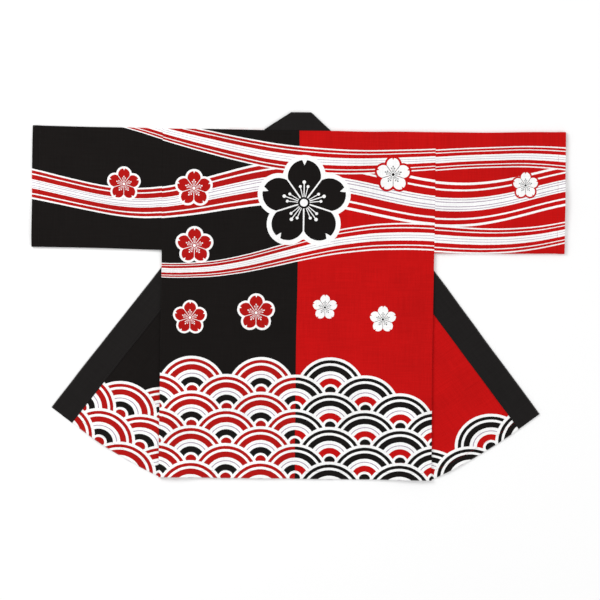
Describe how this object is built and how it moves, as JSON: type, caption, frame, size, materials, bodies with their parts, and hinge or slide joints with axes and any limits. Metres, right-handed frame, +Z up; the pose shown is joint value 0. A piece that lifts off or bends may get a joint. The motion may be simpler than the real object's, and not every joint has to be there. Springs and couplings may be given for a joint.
{
  "type": "happi coat",
  "caption": "Open-fronted hip-length cotton festival coat with wide straight sleeves and a banded collar, laid flat with its back up and its fronts turned out.",
  "frame": {"origin": "middle of the coat's box, on the surface that it lies on", "axes": "+Z up from the surface, +Y from the hem to the neck, +X towards the wearer's right, with the back facing up"},
  "size_m": [1.226, 0.8437, 0.006],
  "materials": {
    "printed_cotton": "matt dyed plain-weave cotton, black on its left and red on its right, with a white, red and black print",
    "black_cotton": "matt black plain-weave cotton with a white and red print",
    "red_cotton": "matt red plain-weave cotton with a white and black print",
    "collar_cotton": "matt black plain-weave cotton, folded into a firm band and stitched"
  },
  "bodies": {
    "root": {"back": "printed_cotton", "front_left": "black_cotton", "front_right": "red_cotton", "sleeve_left": "black_cotton", "sleeve_right": "red_cotton", "collar": "collar_cotton"}
  },
  "joints": []
}
